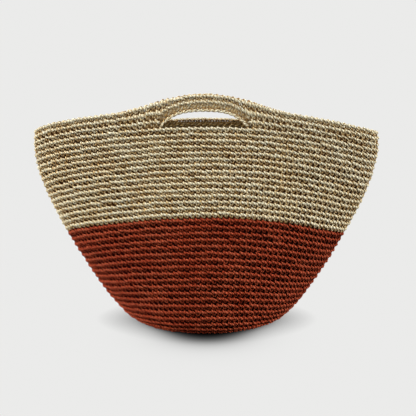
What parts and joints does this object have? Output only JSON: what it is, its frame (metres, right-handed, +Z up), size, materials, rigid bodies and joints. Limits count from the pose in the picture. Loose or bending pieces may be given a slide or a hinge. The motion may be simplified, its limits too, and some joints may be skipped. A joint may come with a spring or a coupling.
{
  "type": "crocheted handbag",
  "caption": "Soft crocheted tote in two yarns with a round base, flared walls and a hand slot in the front and the back",
  "frame": {"origin": "middle of the base's underside, on the surface that the bag stands on", "axes": "+Z up, +X to the right along the bag's length, the front faces -Y"},
  "size_m": [0.4232, 0.1838, 0.282],
  "materials": {
    "rust_yarn": "matt, hairy jute yarn dyed rust red, crocheted in ridged rounds",
    "natural_yarn": "matt, hairy undyed jute yarn, crocheted in ridged rounds"
  },
  "bodies": {
    "bag": {"base_middle_rounds": "rust_yarn", "base_outer_rounds": "rust_yarn", "base_turn_rounds": "rust_yarn", "rust_wall_lower": "rust_yarn", "rust_wall_upper": "rust_yarn", "natural_wall_lower": "natural_yarn", "natural_wall_upper": "natural_yarn", "left_end_rounds": "natural_yarn", "right_end_rounds": "natural_yarn"},
    "front_handle": {"front_handle_chain": "natural_yarn", "front_handle_rounds": "natural_yarn"},
    "back_handle": {"back_handle_chain": "natural_yarn", "back_handle_rounds": "natural_yarn"}
  },
  "joints": [
    {"name": "front_handle_flex", "type": "hinge", "parent": "bag", "child": "front_handle", "pos_m": [-0.003, -0.03699, 0.24635], "axis": [1, 0, 0], "range_deg": [-30, 45], "stiffness_Nm_per_rad": 0.15},
    {"name": "back_handle_flex", "type": "hinge", "parent": "bag", "child": "back_handle", "pos_m": [-0.003, 0.03453, 0.24672], "axis": [-1, 0, 0], "range_deg": [-30, 45], "stiffness_Nm_per_rad": 0.15}
  ]
}
